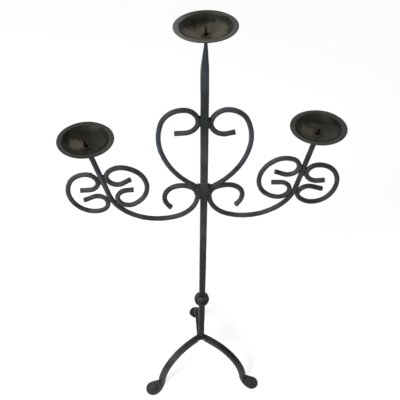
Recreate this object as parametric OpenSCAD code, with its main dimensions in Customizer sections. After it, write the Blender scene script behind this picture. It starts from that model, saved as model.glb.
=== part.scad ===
// Torchere candle stand of forged bar: a square post on three arched legs
// with flattened feet, a heart of scrolled rod, two curved arms that carry
// four C-scrolls, and three pans, each held on the pointed end of its bar.
// Units are millimetres. The origin is on the ground under the post, +Z is
// up, the scrollwork stands in the XZ plane, and the front faces -Y.

/* [Post] */
// Side of the square post bar
post_w = 12; // [10:0.5:13]
// Height at which the post starts to taper
taper_start = 815; // [800:1:822]
// Underside of the post and of the leg roots
post_foot_z = 105; // [95:1:115]
// Diameter of the ball collar
ball_d = 30; // [24:1:36]
// Height of the ball collar's centre
ball_z = 263; // [200:1:400]

/* [Legs] */
// Side of the square leg bar
leg_w = 12; // [10:0.5:13]
// Upward tilt of the leg where it leaves the post, in degrees
leg_rise = 3; // [0:1:8]
// Distance from the post's axis to a foot's centre
foot_reach = 136; // [132:1:142]
// How much farther out the rear foot stands than the front feet
rear_foot_out = 1.5; // [0:0.5:3]
// Straight length of the rear leg before its arch begins
rear_leg_run = 10; // [0:1:12]
// Diameter of the flattened foot
foot_d = 34; // [26:1:36]
// Thickness of the flattened foot
foot_t = 5; // [4:0.5:7]

/* [Scrollwork] */
// Diameter of the scroll rod
rod_d = 8; // [7:0.5:8.5]
// Gap that each weld fills between two bars
weld_gap = 0.3; // [0.2:0.1:0.6]

/* [Pans] */
// Diameter of a pan over its brim
pan_d = 90; // [86:1:96]
// Depth from the edge of the brim to the floor
pan_depth = 15; // [10:0.5:17]
// Width of the brim
brim_w = 7; // [5:0.5:9]
// Rise of the brim from its inside to its edge
brim_rise = 0.6; // [0.2:0.2:1.6]
// Diameter of the flat seat in the middle of the dished floor
floor_d = 17; // [16:0.5:24]
// Thickness of the sheet
sheet_t = 1.2; // [0.8:0.1:1.6]
// Height of the underside of the top pan's floor
top_seat_z = 886; // [880:1:895]

/* [Spikes] */
// Diameter of the neck that passes through a pan
neck_d = 5; // [4:0.5:6]
// Length of the spike above its washer
spike_l = 13; // [10:1:20]
// Diameter of the spike's point
spike_tip_d = 0.8; // [0.5:0.1:1.5]
// Diameter of the washer on the pan's floor
washer_d = 15; // [12:0.5:15.5]
// Thickness of the washer
washer_t = 1.6; // [1:0.2:2.4]

/* [Hidden] */
$fn = 48;
LEFT = 0;
RIGHT = 1;
REAR = 2;
iron = [0.22, 0.23, 0.23];
scale_brown = [0.33, 0.29, 0.25];
pan_black = [0.25, 0.25, 0.22];

fit_gap = 0.05; // clearance round a neck or the post in a hole
swell = 0.05; // the rod is this much thicker, over 1 mm, where its bend changes
swell_gap = 0.2; // half the length that only the swell fills
taper_l = 14; // length over which a stem is drawn down to its neck
neck_below = 12; // length of the post's round neck under its pan
neck_l = sheet_t + washer_t;
hole_l = 40; // length of the cutter for a neck's hole
dish_steps = 12; // steps in the arc of a pan's section
reach = post_w / 2 + weld_gap + rod_d / 2; // middle of a rod that is welded to the post
leg_root_z = post_foot_z + leg_w / 2;
leg_azimuth = [210, 329.5, 90.4]; // headings of the legs from +X, as set by hand

// A curve is a start frame [x, z, heading] and a list of moves: [radius, turn]
// is an arc and [0, length] is straight. Its hand is 1 if it turns to the left
// and -1 if it turns to the right. Curves are drawn as on the right-hand side,
// with x away from the post. The two sides differ a little, as bent by hand.
arm_z = [580, 580];
arm_swoop = [[[53, 73], [94.5, 50.5], [85, 44]], [[54, 66.5], [91, 60.5], [76, 43]]];
stem_l = [108.5, 117.5];
arm_curl = [[[24.5, 65], [34.5, 43], [26.5, 72], [34.5, 46]],
    [[21, 66.5], [41.5, 38.5], [25, 73.5], [34, 49]]];

heart_z = [741, 737];
heart_side = [[[23, 86], [36, 76], [100, 32], [138, 44]], [[25, 95], [37, 61], [93, 33], [123, 53]]];
heart_curl = [[[21, 89], [0, 17]], [[22, 102], [0, 13]]];

outer_drop = [74, 80];
outer_loop = [[[20, 78], [30, 61], [52, 74], [37, 57], [19, 105], [17, 87], [0, 17]],
    [[18, 79], [37, 56], [52, 66], [34, 114], [15, 59], [18, 86], [0, 20]]];
outer_tail = [[[16, 51], [17, 51], [0, 15]], [[12, 24], [22, 79], [0, 12]]];

inner_drop = [73, 74];
inner_loop = [[[16, 55], [27, 58], [46, 78], [46, 64], [19, 83], [18, 122], [0, 12]],
    [[20, 78], [35, 57], [49, 73], [43, 63], [17, 90], [19, 96], [0, 16]]];
inner_tail = [[[19, 56], [16, 52], [0, 16]], [[15, 65], [22, 38], [0, 16]]];

function step(f, m, hand) = m[0] == 0
    ? [f[0] + m[1] * cos(f[2]), f[1] + m[1] * sin(f[2]), f[2]]
    : let (h = f[2] + hand * m[1])
      [f[0] + hand * m[0] * (sin(h) - sin(f[2])), f[1] - hand * m[0] * (cos(h) - cos(f[2])), h];
function walk(f, moves, hand, i = 0) =
    i == len(moves) ? f : walk(step(f, moves[i], hand), moves, hand, i + 1);

function stem_foot(s) = walk([reach, arm_z[s], -90], arm_swoop[s], 1);
function seat(s) = step(stem_foot(s), [0, stem_l[s]], 1);
top_seat = [0, top_seat_z, 90];

// Frame beside a stem, drop below its pan, out rod widths to the outside
function beside_stem(s, drop, out) =
    let (f = seat(s), d = out * (rod_d + weld_gap))
    [f[0] - drop * cos(f[2]) + d * sin(f[2]), f[1] - drop * sin(f[2]) - d * cos(f[2]), f[2]];

module on_side(s) {
    if (s == LEFT) mirror([1, 0, 0]) children();
    else children();
}

// Draws a bar along a curve in the XZ plane, with the children as its section
module bar(f, moves, hand, i = 0) {
    if (i < len(moves)) {
        m = moves[i];
        translate([f[0], 0, f[1]]) rotate([90, 0, 0]) rotate([0, 0, f[2] - 90])
            if (m[0] == 0)
                rotate([-90, 0, 0]) linear_extrude(m[1]) children();
            else
                translate([-hand * m[0], 0, 0]) rotate([0, 0, hand > 0 ? 0 : 180 - m[1]])
                    rotate_extrude(angle = m[1]) translate([m[0], 0]) children();
        bar(step(f, m, hand), moves, hand, i + 1) children();
    }
}

// Draws a round rod along a curve. Its arcs meet inside short swells.
module rod(f, moves, hand, i = 0) {
    if (i < len(moves)) {
        m = moves[i];
        gap = m[0] == 0 ? swell_gap : swell_gap / m[0] * 180 / PI;
        shorter = [m[0], m[1] - 2 * gap];
        translate([f[0], 0, f[1]]) sphere(r = rod_d / 2 + swell);
        bar(step(f, [m[0], gap], hand), [shorter], hand) circle(d = rod_d);
        rod(step(f, m, hand), moves, hand, i + 1);
    }
}

// The moves of a curve from the first up to and without the last
module rod_part(f, moves, hand, first, last) {
    rod(walk(f, [for (i = [0:first - 1]) moves[i]], hand), [for (i = [first:last - 1]) moves[i]], hand);
}

// Places the children at a frame, with +Z along its heading
module along(f) {
    translate([f[0], 0, f[1]]) rotate([0, 90 - f[2], 0]) children();
}

// The drawn-out end of a bar: a taper from the given width, the neck that
// passes through the pan, and the spike. Z = 0 is the underside of the pan.
module neck_and_spike(from_d, below) {
    rotate_extrude() polygon([[0, -below], [from_d / 2, -below], [neck_d / 2, 0], [neck_d / 2, neck_l],
        [spike_tip_d / 2, neck_l + spike_l], [0, neck_l + spike_l]]);
}

module neck_hole(f) {
    along(f) cylinder(h = hole_l, d = neck_d + 2 * fit_gap, center = true);
}

// Outline of the post from one side: straight, then drawn down on an arc
module post_outline() {
    half = post_w / 2;
    rise = top_seat_z - neck_below - taper_start;
    inset = half - neck_d / 2;
    arc_r = (rise * rise + inset * inset) / (2 * inset);
    translate([-half, post_foot_z]) square([post_w, taper_start - post_foot_z]);
    intersection() {
        translate([-half, taper_start]) square([post_w, rise]);
        translate([half - arc_r, taper_start]) circle(r = arc_r, $fn = 720);
        translate([arc_r - half, taper_start]) circle(r = arc_r, $fn = 720);
    }
}

module post() {
    color(iron) {
        intersection() {
            rotate([90, 0, 0]) linear_extrude(2 * post_w, center = true) post_outline();
            rotate([90, 0, 90]) linear_extrude(2 * post_w, center = true) post_outline();
        }
        along(top_seat) neck_and_spike(neck_d, neck_below + 2);
    }
}

module ball_collar() {
    hole = post_w + 2 * fit_gap;
    color(iron) difference() {
        translate([0, 0, ball_z]) sphere(d = ball_d);
        translate([-hole / 2, -hole / 2, ball_z - ball_d]) cube([hole, hole, 2 * ball_d]);
    }
}

// The frames along one arc, first and last included
function arc_frames(f, r, turn, hand, steps) = [for (i = [0:steps]) step(f, [r, turn * i / steps], hand)];

// Outline of a bar of width w in its own plane, along a list of frames
module bar_outline(frames, w) {
    over = [for (f = frames) [f[0] - w / 2 * sin(f[2]), f[1] + w / 2 * cos(f[2])]];
    under = [for (f = frames) [f[0] + w / 2 * sin(f[2]), f[1] - w / 2 * cos(f[2])]];
    last = len(frames) - 1;
    polygon(concat(over, [for (i = [0:last]) under[last - i]]));
}

// A leg in the XZ plane, from the post's axis out to its foot. The bar ends
// just clear of the ground, inside the wedge that leads to the flattened foot.
// run is how far it goes straight before its arch, and far how much farther
// out its foot stands.
module leg_blank(run, far) {
    steep = 85; // slope at the bottom of the arch, in degrees
    toe_r = 8;
    instep_l = 13;
    end_z = leg_w / 2 + 0.3;
    root = [0, leg_root_z, leg_rise];
    bend = step(root, [0, run], 1);
    arch_r = (bend[1] - end_z - toe_r * (1 - cos(steep))) / (cos(leg_rise) - cos(steep));
    arch_steps = 24;
    toe_steps = 10;
    arch = arc_frames(bend, arch_r, leg_rise + steep, -1, arch_steps);
    toe = arc_frames(arch[arch_steps], toe_r, steep, 1, toe_steps);
    heel = toe[toe_steps];
    rotate([90, 0, 0]) {
        linear_extrude(leg_w, center = true)
            bar_outline(concat(run > 0 ? [root] : [], arch, [for (i = [1:toe_steps]) toe[i]]), leg_w);
        linear_extrude(leg_w + 1, center = true) translate([heel[0] - 1, 0])
            polygon([[0, 0], [0, leg_w], [instep_l, foot_t - 1], [instep_l, 0]]);
    }
    translate([foot_reach + far, 0, 0]) {
        cylinder(h = foot_t - 1, d = foot_d);
        translate([0, 0, foot_t - 1]) cylinder(h = 1, d1 = foot_d, d2 = foot_d - 2);
    }
}

// Turns a leg to its place and saws its root to fit the side of the post
module leg(azimuth, face_azimuth, run = 0, far = 0) {
    saw = 5 * leg_w;
    clear = post_w / 2 + weld_gap;
    color(iron) difference() {
        rotate([0, 0, azimuth]) leg_blank(run, far);
        rotate([0, 0, face_azimuth]) translate([clear - saw, -saw, post_foot_z - saw / 2])
            cube([saw, 2 * saw, saw]);
    }
}

module leg_left() { leg(leg_azimuth[LEFT], 180); }
module leg_right() { leg(leg_azimuth[RIGHT], 0); }
module leg_rear() { leg(leg_azimuth[REAR], 90, rear_leg_run, rear_foot_out); }

function arm_moves(s) = concat(arm_swoop[s], [[0, stem_l[s] - taper_l]]);

module arm(s) {
    color(iron) on_side(s) {
        rod([reach, arm_z[s], -90], arm_moves(s), 1);
        rod([reach, arm_z[s], 90], arm_curl[s], -1);
        along(seat(s)) {
            translate([0, 0, -taper_l]) sphere(r = rod_d / 2 + swell);
            neck_and_spike(rod_d, taper_l - swell_gap);
        }
    }
}

// The first turns of an arm on both sides of its weld to the post
module arm_at_post(s) {
    rod_part([reach, arm_z[s], -90], arm_swoop[s], 1, 0, 1);
    rod_part([reach, arm_z[s], 90], arm_curl[s], -1, 0, 2);
}

// The foot of the heart is ground to fit the curl of the arm below it
module heart_scroll(s) {
    color(iron) on_side(s) difference() {
        union() {
            rod([reach, heart_z[s], 90], heart_side[s], -1);
            rod([reach, heart_z[s], -90], heart_curl[s], 1);
        }
        arm_at_post(s);
    }
}

// A C-scroll that is welded beside the stem
module c_scroll(s, drop, out, loop, tail) {
    f = beside_stem(s, drop, out);
    color(iron) on_side(s) {
        rod(f, loop, -out);
        rod([f[0], f[1], f[2] - 180], tail, out);
    }
}

module outer_scroll(s) { c_scroll(s, outer_drop[s], 1, outer_loop[s], outer_tail[s]); }
module inner_scroll(s) { c_scroll(s, inner_drop[s], -1, inner_loop[s], inner_tail[s]); }

// A sheet dished on an arc, with a flat brim and a flat seat for the washer
module pan(s_frame) {
    seat_r = floor_d / 2;
    bowl_r = pan_d / 2 - brim_w;
    bowl_h = pan_depth - brim_rise;
    centre_h = (bowl_r * bowl_r - seat_r * seat_r + bowl_h * bowl_h) / (2 * bowl_h);
    dish_r = norm([seat_r, centre_h]);
    slope_in = asin(seat_r / dish_r);
    slope_out = asin(bowl_r / dish_r);
    slopes = [for (i = [0:dish_steps]) slope_in + (slope_out - slope_in) * i / dish_steps];
    top = [for (a = slopes) [dish_r * sin(a), centre_h - dish_r * cos(a)]];
    under = [for (a = slopes) [(dish_r + sheet_t) * sin(a), centre_h - (dish_r + sheet_t) * cos(a)]];
    color(pan_black) difference() {
        translate([s_frame[0], 0, s_frame[1] + sheet_t]) rotate_extrude() polygon(concat(
            [[0, -sheet_t], [seat_r, -sheet_t]], under,
            [[pan_d / 2, pan_depth - sheet_t], [pan_d / 2, pan_depth]],
            [for (i = [dish_steps:-1:0]) top[i]], [[0, 0]]));
        neck_hole(s_frame);
    }
}

module washer(s_frame) {
    chamfer = 0.6;
    color(iron) difference() {
        translate([s_frame[0], 0, s_frame[1] + sheet_t]) {
            cylinder(h = washer_t - chamfer, d = washer_d);
            translate([0, 0, washer_t - chamfer])
                cylinder(h = chamfer, d1 = washer_d, d2 = washer_d - 2 * chamfer);
        }
        neck_hole(s_frame);
    }
}

// A row of three weld beads along a frame's heading
module bead_row(f, pitch, bead_r) {
    for (i = [-1:1]) along(f) translate([0, 0, i * pitch]) sphere(r = bead_r);
}

module beads(list) {
    for (b = list) translate([b[0], 0, b[1]]) sphere(r = b[2]);
}

// The straight length of the post, to cut beads that lie against it
module post_core() {
    translate([-post_w / 2, -post_w / 2, post_foot_z]) cube([post_w, post_w, taper_start - post_foot_z]);
}

top_bead_r = 5;
module heart_top_welds() {
    color(scale_brown) for (s = [LEFT, RIGHT]) on_side(s) difference() {
        bead_row([reach - rod_d / 4, heart_z[s], 90], top_bead_r + 1, top_bead_r);
        post_core();
        rod_part([reach, heart_z[s], 90], heart_side[s], -1, 0, 1);
        rod_part([reach, heart_z[s], -90], heart_curl[s], 1, 0, 1);
    }
}

// Beads as [x, z, radius], where the arms and the heart's foot meet the post
heart_foot_beads = [[[9, 576, 5], [10, 587, 6.5], [11, 597, 6.5]],
    [[9, 574, 5], [10, 585, 6.5], [12, 595, 6.5]]];
module heart_foot_welds() {
    color(scale_brown) for (s = [LEFT, RIGHT]) on_side(s) difference() {
        beads(heart_foot_beads[s]);
        post_core();
        arm_at_post(s);
        rod_part([reach, heart_z[s], 90], heart_side[s], -1, 3, 4);
    }
}

leg_bead_r = 4;
web_bead_r = 6; // the bead in the fork of the two front legs
module leg_welds() {
    color(scale_brown) difference() {
        union() {
            for (azimuth = leg_azimuth) rotate([0, 0, azimuth])
                translate([post_w / 2 + leg_bead_r / 2, 0, leg_root_z + leg_w / 2]) sphere(r = leg_bead_r);
            translate([0, -post_w / 2 - 1, leg_root_z]) sphere(r = web_bead_r);
        }
        post_core();
        leg_left();
        leg_right();
        leg_rear();
    }
}

upper_bead_r = 3.4;
// One row of beads between the stem and a scroll, at the scroll's upper weld
module upper_scroll_weld(s, drop, out, loop, tail) {
    f = beside_stem(s, drop, out);
    on_side(s) difference() {
        bead_row(beside_stem(s, drop, out / 2), upper_bead_r + 0.6, upper_bead_r);
        rod(stem_foot(s), [[0, stem_l[s] - taper_l]], 1);
        rod_part(f, loop, -out, 0, 1);
        rod_part([f[0], f[1], f[2] - 180], tail, out, 0, 1);
    }
}

module upper_scroll_welds(s) {
    color(scale_brown) {
        upper_scroll_weld(s, outer_drop[s], 1, outer_loop[s], outer_tail[s]);
        upper_scroll_weld(s, inner_drop[s], -1, inner_loop[s], inner_tail[s]);
    }
}

// Beads as [x, z, radius], where the scrolls turn back past the arms
lower_outer_bead = [[164.2, 580.4, 4.2], [164.8, 578.8, 4.2]];
lower_inner_bead = [[150.7, 571.6, 4.2], [155.1, 576, 4.2]];

// A bead between the arm and a scroll, where the scroll turns back past it
module lower_scroll_weld(s, bead, drop, out, loop, first, last) {
    on_side(s) difference() {
        beads([bead]);
        rod_part([reach, arm_z[s], -90], arm_moves(s), 1, 2, 4);
        rod_part(beside_stem(s, drop, out), loop, -out, first, last);
    }
}

module lower_scroll_welds(s) {
    color(scale_brown) {
        lower_scroll_weld(s, lower_outer_bead[s], outer_drop[s], 1, outer_loop[s], 3, 5);
        lower_scroll_weld(s, lower_inner_bead[s], inner_drop[s], -1, inner_loop[s], 3, 5);
    }
}

pan_fillet = 2.5;
// A ring of weld round the neck, under the pan
module pan_weld(s_frame, from_d, below) {
    ring_r = neck_d / 2 + pan_fillet;
    color(iron) difference() {
        translate([s_frame[0], 0, s_frame[1]]) sphere(r = ring_r);
        translate([s_frame[0] - 2 * ring_r, -2 * ring_r, s_frame[1]]) cube(4 * ring_r);
        along(s_frame) neck_and_spike(from_d, below);
    }
}

function mirrored(f) = [-f[0], f[1], 180 - f[2]];
left_seat = mirrored(seat(LEFT));
right_seat = seat(RIGHT);

post();
ball_collar();
leg_left();
leg_right();
leg_rear();
heart_scroll(LEFT);  // heart_scroll_left
heart_scroll(RIGHT);  // heart_scroll_right
arm(LEFT);  // arm_left
arm(RIGHT);  // arm_right
outer_scroll(LEFT);  // outer_scroll_left
outer_scroll(RIGHT);  // outer_scroll_right
inner_scroll(LEFT);  // inner_scroll_left
inner_scroll(RIGHT);  // inner_scroll_right
pan(top_seat);  // pan_top
pan(left_seat);  // pan_left
pan(right_seat);  // pan_right
washer(top_seat);  // washer_top
washer(left_seat);  // washer_left
washer(right_seat);  // washer_right
heart_top_welds();
heart_foot_welds();
leg_welds();
upper_scroll_welds(LEFT);  // upper_scroll_welds_left
upper_scroll_welds(RIGHT);  // upper_scroll_welds_right
lower_scroll_welds(LEFT);  // lower_scroll_welds_left
lower_scroll_welds(RIGHT);  // lower_scroll_welds_right
pan_weld(top_seat, neck_d, neck_below);  // pan_weld_top
pan_weld(left_seat, rod_d, taper_l);  // pan_weld_left
pan_weld(right_seat, rod_d, taper_l);  // pan_weld_right
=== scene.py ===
"""Torchere candle stand of forged bar, standing on a pale studio floor.

The file is laid out as an add-on. Run as a script, it builds every piece in
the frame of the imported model, in metres, and puts the camera where the
photograph was taken from.
"""

from math import asin, atan2, cos, hypot, pi, radians, sin, sqrt, tau

import bmesh
import bpy
from bpy.props import FloatProperty, FloatVectorProperty, IntProperty, PointerProperty
from bpy.types import Operator, Panel, PropertyGroup
from mathutils import Matrix, Vector, noise


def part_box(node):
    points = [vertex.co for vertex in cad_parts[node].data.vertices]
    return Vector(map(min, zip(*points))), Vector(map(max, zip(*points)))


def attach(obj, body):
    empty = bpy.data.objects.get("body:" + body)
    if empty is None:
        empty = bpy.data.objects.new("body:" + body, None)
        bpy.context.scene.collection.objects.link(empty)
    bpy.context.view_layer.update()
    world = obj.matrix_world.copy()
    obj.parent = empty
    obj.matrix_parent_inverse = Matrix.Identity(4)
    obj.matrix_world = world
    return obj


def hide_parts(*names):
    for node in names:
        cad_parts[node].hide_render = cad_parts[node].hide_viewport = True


bl_info = {
    "name": "Torchere candle stand",
    "version": (1, 0, 0),
    "blender": (4, 5, 0),
    "location": "3D View > Sidebar > Candle stand",
    "description": "Forged candle stand with three pans, a heart and four C-scrolls",
    "category": "Add Mesh",
}

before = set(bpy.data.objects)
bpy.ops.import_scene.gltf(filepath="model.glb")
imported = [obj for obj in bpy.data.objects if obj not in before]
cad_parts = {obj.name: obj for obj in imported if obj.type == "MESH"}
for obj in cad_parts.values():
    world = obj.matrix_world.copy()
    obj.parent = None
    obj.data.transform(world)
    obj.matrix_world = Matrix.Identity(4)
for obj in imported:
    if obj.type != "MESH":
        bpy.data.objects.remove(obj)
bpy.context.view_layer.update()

MM = 0.001
LEFT, RIGHT = 0, 1
SIDE_NAMES = ("left", "right")
SIDE_SIGNS = (-1.0, 1.0)
BAR_AXIS = Vector((0.0, 1.0, 0.0))


# ---- settings ----

def node_width(node):
    """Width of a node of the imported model, in metres."""
    low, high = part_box(node)
    return high[0] - low[0]


def a_length(name, description, default, low, high, digits=4):
    """A length that a user can change."""
    return FloatProperty(name=name, description=description, default=default, min=low, max=high,
                         unit="LENGTH", precision=digits)


def a_colour(name, description, default):
    """A colour that a user can change."""
    return FloatVectorProperty(name=name, description=description, default=default, min=0.0, max=1.0,
                               subtype="COLOR")


class CandleStandSizes(PropertyGroup):
    """Sizes of the stand that a maker would change."""

    post_side: a_length("Post side", "Side of the post's square bar", 0.0125, 0.008, 0.016)
    leg_side: a_length("Leg side", "Side of the legs' square bar", 0.0123, 0.008, 0.016)
    rod: a_length("Scroll rod", "Diameter of the scroll rod", 0.0083, 0.005, 0.010)
    ball: a_length("Ball", "Diameter of the ball on the post", node_width("ball_collar"), 0.02, 0.04)
    pan: a_length("Pan", "Diameter of a pan over its brim", node_width("pan_top"), 0.07, 0.12)
    pan_depth: a_length("Pan depth", "Height from a pan's floor to its brim's edge", 0.0156, 0.008, 0.02)
    brim: a_length("Brim", "Width of a pan's brim", 0.007, 0.003, 0.012)
    sheet: a_length("Sheet", "Thickness of a pan's sheet", 0.0012, 0.0008, 0.002)
    washer: a_length("Washer", "Diameter of the washer under a spike", node_width("washer_top"), 0.01, 0.02)
    neck: a_length("Neck", "Diameter of the neck that passes through a pan", 0.005, 0.003, 0.007)
    spike: a_length("Spike", "Length of a spike above its washer", 0.0122, 0.008, 0.025)
    foot: a_length("Foot", "Diameter of a flattened foot", 0.034, 0.02, 0.04)
    foot_thickness: a_length("Foot thickness", "Thickness of a flattened foot", 0.005, 0.003, 0.008)
    hammer: a_length("Hammer marks", "Depth of the unevenness that hammering leaves", 0.0002, 0.0, 0.001, 5)
    ring_step: a_length("Ring step", "Distance between the rings of a bar's mesh", 0.002, 0.001, 0.01)
    rod_quadrant: IntProperty(
        name="Rod sides", description="Sides in a quarter of the rod's outline",
        default=6, min=3, max=12)


class CandleStandFinish(PropertyGroup):
    """Colours of the stand and its stage."""

    iron_deep: a_colour("Iron, grey-green", "Darker tone of the black paint", (0.019, 0.021, 0.020))
    iron_pale: a_colour("Iron, blue-grey", "Lighter tone of the black paint", (0.040, 0.044, 0.048))
    iron_warm: a_colour("Iron, warm", "Brownish bloom on the black paint", (0.055, 0.047, 0.038))
    # The worn colour is rubbed paint and dust, and along the arrises it also paints a highlight.
    worn_and_highlit: a_colour("Worn arris", "Where the paint is rubbed thin", (0.095, 0.1, 0.095))
    weld_brown: a_colour("Weld, brown", "Lighter tone of the weld scale", (0.067, 0.049, 0.040))
    weld_dark: a_colour("Weld, dark", "Darker tone of the weld scale", (0.016, 0.017, 0.012))
    # Soot on the spikes and washers; in the pans this colour also paints shade on the left and right walls.
    soot: a_colour("Soot", "Burnt wick and soot on the spikes", (0.0035, 0.0035, 0.003))
    # The pan wall tone paints light and shade on the steep part of the bowl.
    wall: a_colour("Pan wall", "Tone of the steep part of a pan's bowl", (0.025, 0.025, 0.018))
    # The brim tone is dust and painted light together.
    brim_tone: a_colour("Pan brim", "Dusty grey of a pan's brim", (0.130, 0.127, 0.116))
    pan_deep: a_colour("Pan, black", "Darker tone of the pans", (0.008, 0.008, 0.006))
    pan_pale: a_colour("Pan, olive", "Lighter tone of the pans", (0.020, 0.019, 0.013))
    # This colour is old wax on the washers, and on each pan's floor it also paints a reflection on the near
    # half and in the pool.
    wax_and_reflection_tone: a_colour("Old wax", "Film of old wax on the near half of the pans", (0.123, 0.107, 0.074))
    floor: a_colour("Floor", "Colour of the studio floor", (0.62, 0.62, 0.62))


class CandleStandStage(PropertyGroup):
    """Camera and light."""

    camera_place: FloatVectorProperty(
        name="Camera", description="Place of the camera", subtype="TRANSLATION",
        default=(-0.0636, -0.6961, 1.2778))
    camera_turn: FloatVectorProperty(
        name="Camera angles", description="Turn about Z, tilt from straight down, and roll",
        subtype="EULER", default=(radians(-4.746), radians(44.538), radians(0.602)))
    lens: FloatProperty(
        name="Lens", description="Focal length on a sensor of 36 mm", default=50.606,
        min=20.0, max=120.0)
    key_power: FloatProperty(
        name="Key light", description="Power of the soft key light", default=42.0,
        min=0.0, max=200.0, unit="POWER")
    sky: FloatProperty(
        name="Sky", description="Strength of the soft light from all round", default=0.33,
        min=0.0, max=2.0)


# ---- curves and places ----
# A curve is a start [x, z, heading] and a list of moves: (radius, turn) is an
# arc and (0, length) is straight, in millimetres and degrees. Curves are drawn
# as on the right-hand side, with x away from the post, first left then right.

# From the post's middle to the middle of a rod against it, and between the middles of two rods.
REACH = 10.3
BESIDE = 8.3

# The arms: height where curl and swoop part, the straight stem, and the taper below the pan.
ARM_Z = (580.0, 580.0)
ARM_SWOOP = (((53, 73), (94.5, 50.5), (85, 44)), ((54, 66.5), (91, 60.5), (76, 43)))
STEM = (108.5, 117.5)
TAPER_LENGTH = 14.0
ARM_CURL = (((24.5, 65), (34.5, 43), (26.5, 72), (34.5, 46)),
            ((21, 66.5), (41.5, 38.5), (25, 73.5), (34, 49)))
# How far an arm's curl is upset at its tip, over how many rings, and the bevel there.
ARM_TIP = ((0.16, 2.0, 0.7), (0.24, 3.0, 3.4))

# The heart, from the height where its curl and its large curve part.
HEART_Z = (741.0, 737.0)
HEART_SIDE = (((23, 86), (36, 76), (100, 32), (138, 42.6)),
              ((25, 95), (37, 61), (93, 33), (123, 51.4)))
HEART_CURL = (((21, 89), (0, 17)), ((22, 102), (0, 13)))

# The C-scrolls: drop of the weld below the pan, then the curves above and below that weld.
OUTER_DROP = (74.0, 80.0)
OUTER_LOOP = (((20, 78), (30, 61), (52, 74), (37, 57), (19, 105), (17, 87), (0, 17)),
              ((18, 79), (37, 56), (52, 66), (34, 114), (15, 59), (18, 86), (0, 20)))
OUTER_TAIL = (((16, 51), (17, 51), (0, 15)), ((12, 24), (22, 79), (0, 12)))
INNER_DROP = (73.0, 74.0)
INNER_LOOP = (((16, 55), (27, 58), (46, 78), (46, 64), (19, 83), (18, 122), (0, 12)),
              ((20, 78), (35, 57), (49, 73), (43, 63), (17, 90), (19, 96), (0, 16)))
INNER_TAIL = (((19, 56), (16, 52), (0, 16)), ((15, 65), (22, 38), (0, 16)))
# Where the outer and the inner scroll are welded to the arm below them, as (x, z).
LOWER_WELDS = (((164.2, 580.4), (150.7, 571.6)), ((164.8, 578.8), (155.1, 576.0)))

# How stout each rod is beside the size of the scroll rod.
ARM_STOUT = (1.09, 1.08)
HEART_STOUT = (1.0, 1.01)
SCROLL_STOUT = {"outer": (1.02, 1.06), "inner": (1.05, 1.02)}
# The outer left scroll gets a lit copy of the scroll paint and the outer right one a shaded copy: painted
# light and shade.
SCROLL_FINISH = {"outer": ("black_iron_scroll_painted_lit", "black_iron_scroll_painted_shade"),
                 "inner": ("black_iron_scroll", "black_iron_scroll")}

# The post, its bow to the right by height, and the ball on it.
POST_FOOT = 105.0
TAPER_START = 815.0
TAPER_END = 874.0
TOP_SEAT = (0.0, 886.0, 90.0)
POST_BOW = ((105, 0.2), (170, 0.4), (225, 0.8), (340, 0.95), (540, 0.85), (630, 0.6), (670, 0.35),
            (710, 0.1), (785, -0.4), (827, -0.8), (850, -0.5), (874, 0.0))
BALL_Z = 263.7
BALL_PROUD = 1.2
BALL_ASIDE = 0.3

# The legs: height and slope at the post, the arch, its fall per millimetre of radius, and the toe.
LEG_ROOT_Z = 111.0
LEG_RISE = 3.0
LEG_ARCH = (106.86, 88.0)
LEG_FALL = 0.91147
LEG_TOE = (8.0, 85.0)
# Each leg: name, direction, direction of the post's face, straight length before its arch, distance
# and size of its foot, where the foot starts to widen, and how far foot and leg stray sideways.
LEGS = (("left", 210.0, 180.0, 0.0, 136.0, 1.03, 109.0, -1.0, 0.0),
        ("right", 329.5, 0.0, 0.0, 136.0, 0.93, 109.0, -1.0, 0.0),
        ("rear", 90.4, 90.0, 10.0, 137.5, 0.98, 121.0, 1.6, 2.8))
# Along a leg: where it thins out to its foot, where its upper side starts to be domed and how much,
# and where it comes back to its line. Then how far its root is let into the post.
FOOT_THIN = (108.0, 124.0)
DOME_START = 109.0
DOME = 0.5
STRAY_ENDS = (30.0, 104.0)
ROOT_BITE = 0.2
# Turns round the far half of a foot, in degrees, and the half width below which its edge thins.
FOOT_TURNS = (8, 17, 26, 35, 43, 51, 58, 64, 70, 75, 80, 84, 87)
FOOT_EDGE = 7.0
# Share of a square bar's half side that its rounded arris takes.
POST_ARRIS, BALL_ARRIS, LEG_ARRIS = 0.13, 0.12, 0.16

# How far each pan leans up at its right and at its back, in degrees, and its stretch sideways.
PAN_LEAN = {"top": (1.8, -0.5, 1.0), "left": (-1.0, 0.4, 1.0), "right": (1.0, 0.0, 1.015)}
# Width of a brim's rounded lip, gap round what passes through a hole, and thickness of a washer.
LIP = 0.45
CLEARANCE = 0.05
WASHER_THICK = 1.6


def step(place, move, hand):
    """The place and heading after a move, hand 1 to the left and -1 to the right."""
    x, z, heading = place
    radius, amount = move
    here = radians(heading)
    if radius == 0:
        return (x + amount * cos(here), z + amount * sin(here), heading)
    turned = heading + hand * amount
    there = radians(turned)
    return (x + hand * radius * (sin(there) - sin(here)),
            z - hand * radius * (cos(there) - cos(here)), turned)


def between(start, end, count):
    """Values from start to end in equal steps, without start."""
    return [start + (end - start) * i / count for i in range(1, count + 1)]


def track(place, moves, hand, spacing):
    """Places along a list of moves, about spacing apart, both ends included."""
    found = [place]
    for radius, amount in moves:
        length = amount if radius == 0 else radius * radians(amount)
        count = max(2, round(length / spacing))
        found += [step(place, (radius, part), hand) for part in between(0.0, amount, count)]
        place = found[-1]
    return found


def both_ways(place, tail, moves, hand, spacing):
    """Places along a bar that is bent both ways from one place, from the end of its tail."""
    x, z, heading = place
    back = track((x, z, heading - 180.0), tail, -hand, spacing)
    turned = [(x, z, heading + 180.0) for x, z, heading in reversed(back)]
    return turned + track(place, moves, hand, spacing)[1:]


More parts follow.
